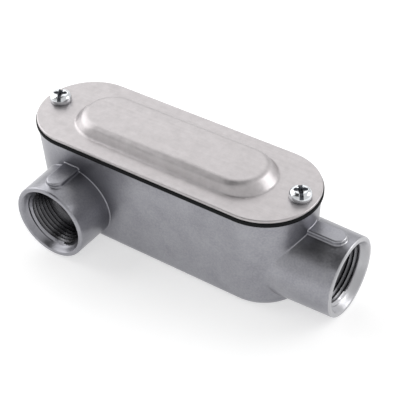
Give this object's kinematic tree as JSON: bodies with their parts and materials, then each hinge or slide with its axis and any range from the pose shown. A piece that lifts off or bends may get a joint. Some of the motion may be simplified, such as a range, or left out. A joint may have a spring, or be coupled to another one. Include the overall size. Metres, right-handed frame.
{
  "type": "conduit body",
  "caption": "Right-angle conduit body with a side outlet: oblong cast box, threaded hubs on one end and one side, gasketed embossed cover held by screws.",
  "frame": {"origin": "centre of the flat back face of the box, below the middle of the cover", "axes": "+X out of the end hub, along the length; -Y out of the side hub; +Z out of the cover, away from the back face"},
  "size_m": [0.1428, 0.0594, 0.0509],
  "materials": {
    "die_cast_aluminium": "satin as-cast",
    "gasket_rubber": "matte",
    "stamped_aluminium": "satin",
    "zinc_plated_steel": "bright zinc"
  },
  "bodies": {
    "root": {"body_casting": "die_cast_aluminium", "gasket": "gasket_rubber", "cover": "stamped_aluminium", "hub_end_screw": "zinc_plated_steel", "closed_end_screw": "zinc_plated_steel"}
  },
  "joints": []
}
